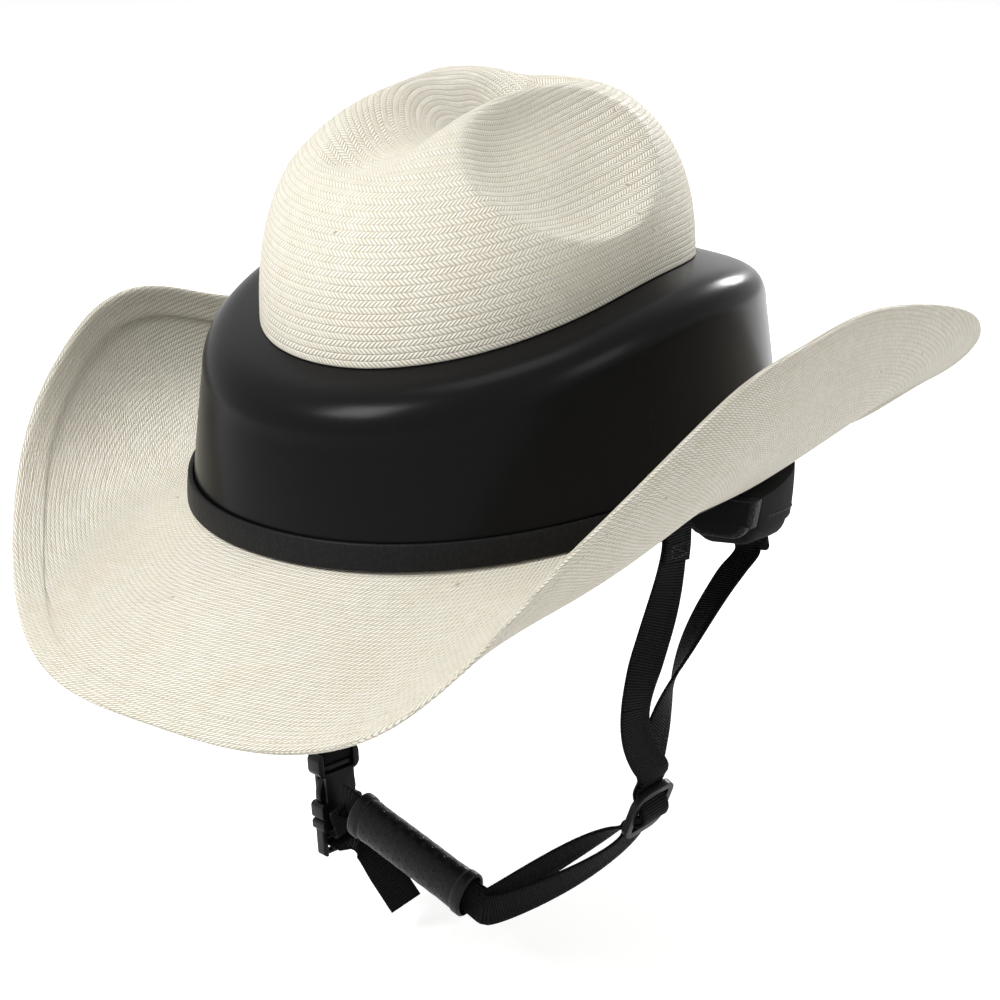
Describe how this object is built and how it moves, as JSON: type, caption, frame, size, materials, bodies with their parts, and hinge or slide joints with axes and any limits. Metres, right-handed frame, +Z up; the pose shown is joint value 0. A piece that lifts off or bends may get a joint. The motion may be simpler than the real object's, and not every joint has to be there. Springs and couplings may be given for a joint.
{
  "type": "western hat helmet",
  "caption": "Riding helmet built into a western straw hat: creased crown and curled brim round a black shell, with a webbing harness, buckle and padded chin sleeve.",
  "frame": {"origin": "centre of the head opening, level with the rim of the shell", "axes": "+Z up through the crown, the front of the hat faces -Y and the wearer's left is +X"},
  "size_m": [0.3217, 0.4207, 0.3637],
  "materials": {
    "straw": "stiffened woven straw, ivory, in a herringbone weave",
    "shell": "satin black moulded shell",
    "trim": "matte black moulded band with a fine grain",
    "foam": "dark grey crushable foam",
    "cloth": "black knitted cloth over thin foam",
    "cushion": "black quick-drying cloth over soft foam",
    "nape": "black suede-like cloth over firm foam",
    "binding": "pebbled black binding",
    "hard_plastic": "black moulded plastic with a satin face",
    "screw": "blackened steel",
    "webbing": "ribbed black nylon webbing",
    "sleeve": "perforated black leather with rolled hems"
  },
  "bodies": {
    "helmet": {"crown_straw": "straw", "brim_straw": "straw", "outer_shell": "shell", "shell_trim_band": "trim", "foam_liner": "foam", "sweatband": "cloth", "rim_ring": "hard_plastic", "rim_screws": "screw", "brow_pad": "cushion", "crown_pad": "cushion", "side_pad_left": "cushion", "side_pad_right": "cushion", "nape_pad": "nape", "nape_binding_left": "binding", "nape_binding_right": "binding", "strap_anchor_left": "hard_plastic", "strap_anchor_right": "hard_plastic", "strap_loop_left": "webbing", "strap_loop_right": "webbing"},
    "harness": {"front_strap_left": "webbing", "front_strap_right": "webbing", "rear_strap_left": "webbing", "rear_strap_right": "webbing", "buckle_webbing": "webbing", "buckle_socket": "hard_plastic"},
    "left_glide": {"glide_left": "hard_plastic", "glide_webbing_left": "webbing"},
    "right_glide": {"glide_right": "hard_plastic", "glide_webbing_right": "webbing"},
    "chin_strap": {"buckle_plug": "hard_plastic", "chin_webbing": "webbing", "link_webbing": "webbing"},
    "sleeve": {"chin_sleeve": "sleeve"},
    "front_prong": {"prong_front": "hard_plastic"},
    "back_prong": {"prong_back": "hard_plastic"}
  },
  "joints": [
    {"name": "harness_swing", "type": "hinge", "parent": "helmet", "child": "harness", "pos_m": [0, 0.00944, -0.00335], "axis": [1, 0, 0], "range_deg": [-6, 28], "deforming": ["front_strap_left", "front_strap_right", "rear_strap_left", "rear_strap_right"]},
    {"name": "left_glide_slide", "type": "slide", "parent": "harness", "child": "left_glide", "axis": [0.4623, -0.1737, 0.8695], "range_m": [-0.008, 0.008]},
    {"name": "right_glide_slide", "type": "slide", "parent": "harness", "child": "right_glide", "axis": [-0.1361, 0.2079, 0.9686], "range_m": [-0.008, 0.008], "deforming": ["buckle_webbing"]},
    {"name": "buckle_release", "type": "slide", "parent": "harness", "child": "chin_strap", "axis": [0.0073, 0.0518, -0.9986], "range_m": [0, 0.028], "deforming": ["link_webbing", "prong_front", "prong_back"]},
    {"name": "sleeve_slide", "type": "slide", "parent": "chin_strap", "child": "sleeve", "axis": [0.9511, 0, -0.309], "range_m": [-0.006, 0.008], "deforming": ["chin_webbing"]},
    {"name": "front_prong_press", "type": "hinge", "parent": "chin_strap", "child": "front_prong", "pos_m": [-0.07097, -0.03289, -0.16506], "axis": [-0.9903, 0.1392, 0], "range_deg": [0, 6], "stiffness_Nm_per_rad": 0.5},
    {"name": "back_prong_press", "type": "hinge", "parent": "chin_strap", "child": "back_prong", "pos_m": [-0.06905, -0.01924, -0.16434], "axis": [0.9903, -0.1392, 0], "range_deg": [0, 6], "stiffness_Nm_per_rad": 0.5}
  ]
}
